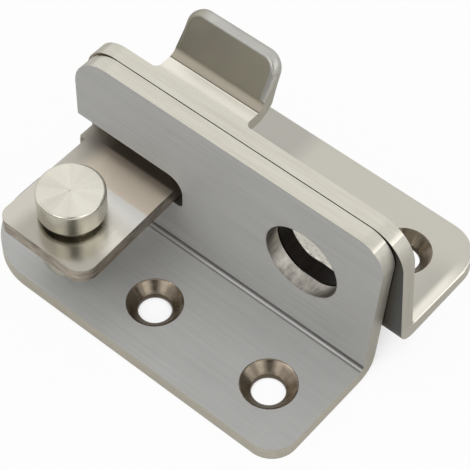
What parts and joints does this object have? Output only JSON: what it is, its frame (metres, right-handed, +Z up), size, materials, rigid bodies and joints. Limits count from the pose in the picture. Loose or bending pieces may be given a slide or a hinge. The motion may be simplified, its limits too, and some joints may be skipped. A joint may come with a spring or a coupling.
{
  "type": "slide bolt",
  "caption": "Padlockable slide bolt of bent sheet: a screwed angle bracket with an open slot, and a sliding angle plate whose tongue, finger tab and turned knob pass through and over it.",
  "frame": {"origin": "midway between the two screws of the front flange, on the face that the front flange rests on", "axes": "+X along the plates, from the tongue to the padlock hole; +Y backwards, from the front flange to the rear flange; +Z up, away from the base"},
  "size_m": [0.0683, 0.0475, 0.0411],
  "materials": {
    "brushed_sheet_front": "brushed along the length, edges ground",
    "brushed_sheet_rear": "brushed, edges ground",
    "turned_knob": "fine turned",
    "turned_collar": "fine turned"
  },
  "bodies": {
    "bracket": {"front_bracket": "brushed_sheet_front"},
    "slide": {"bolt_plate": "brushed_sheet_rear", "knob": "turned_knob", "knob_collar": "turned_collar"}
  },
  "joints": [
    {"name": "bolt_slide", "type": "slide", "parent": "bracket", "child": "slide", "axis": [-1, 0, 0], "range_m": [0, 0.022]}
  ]
}
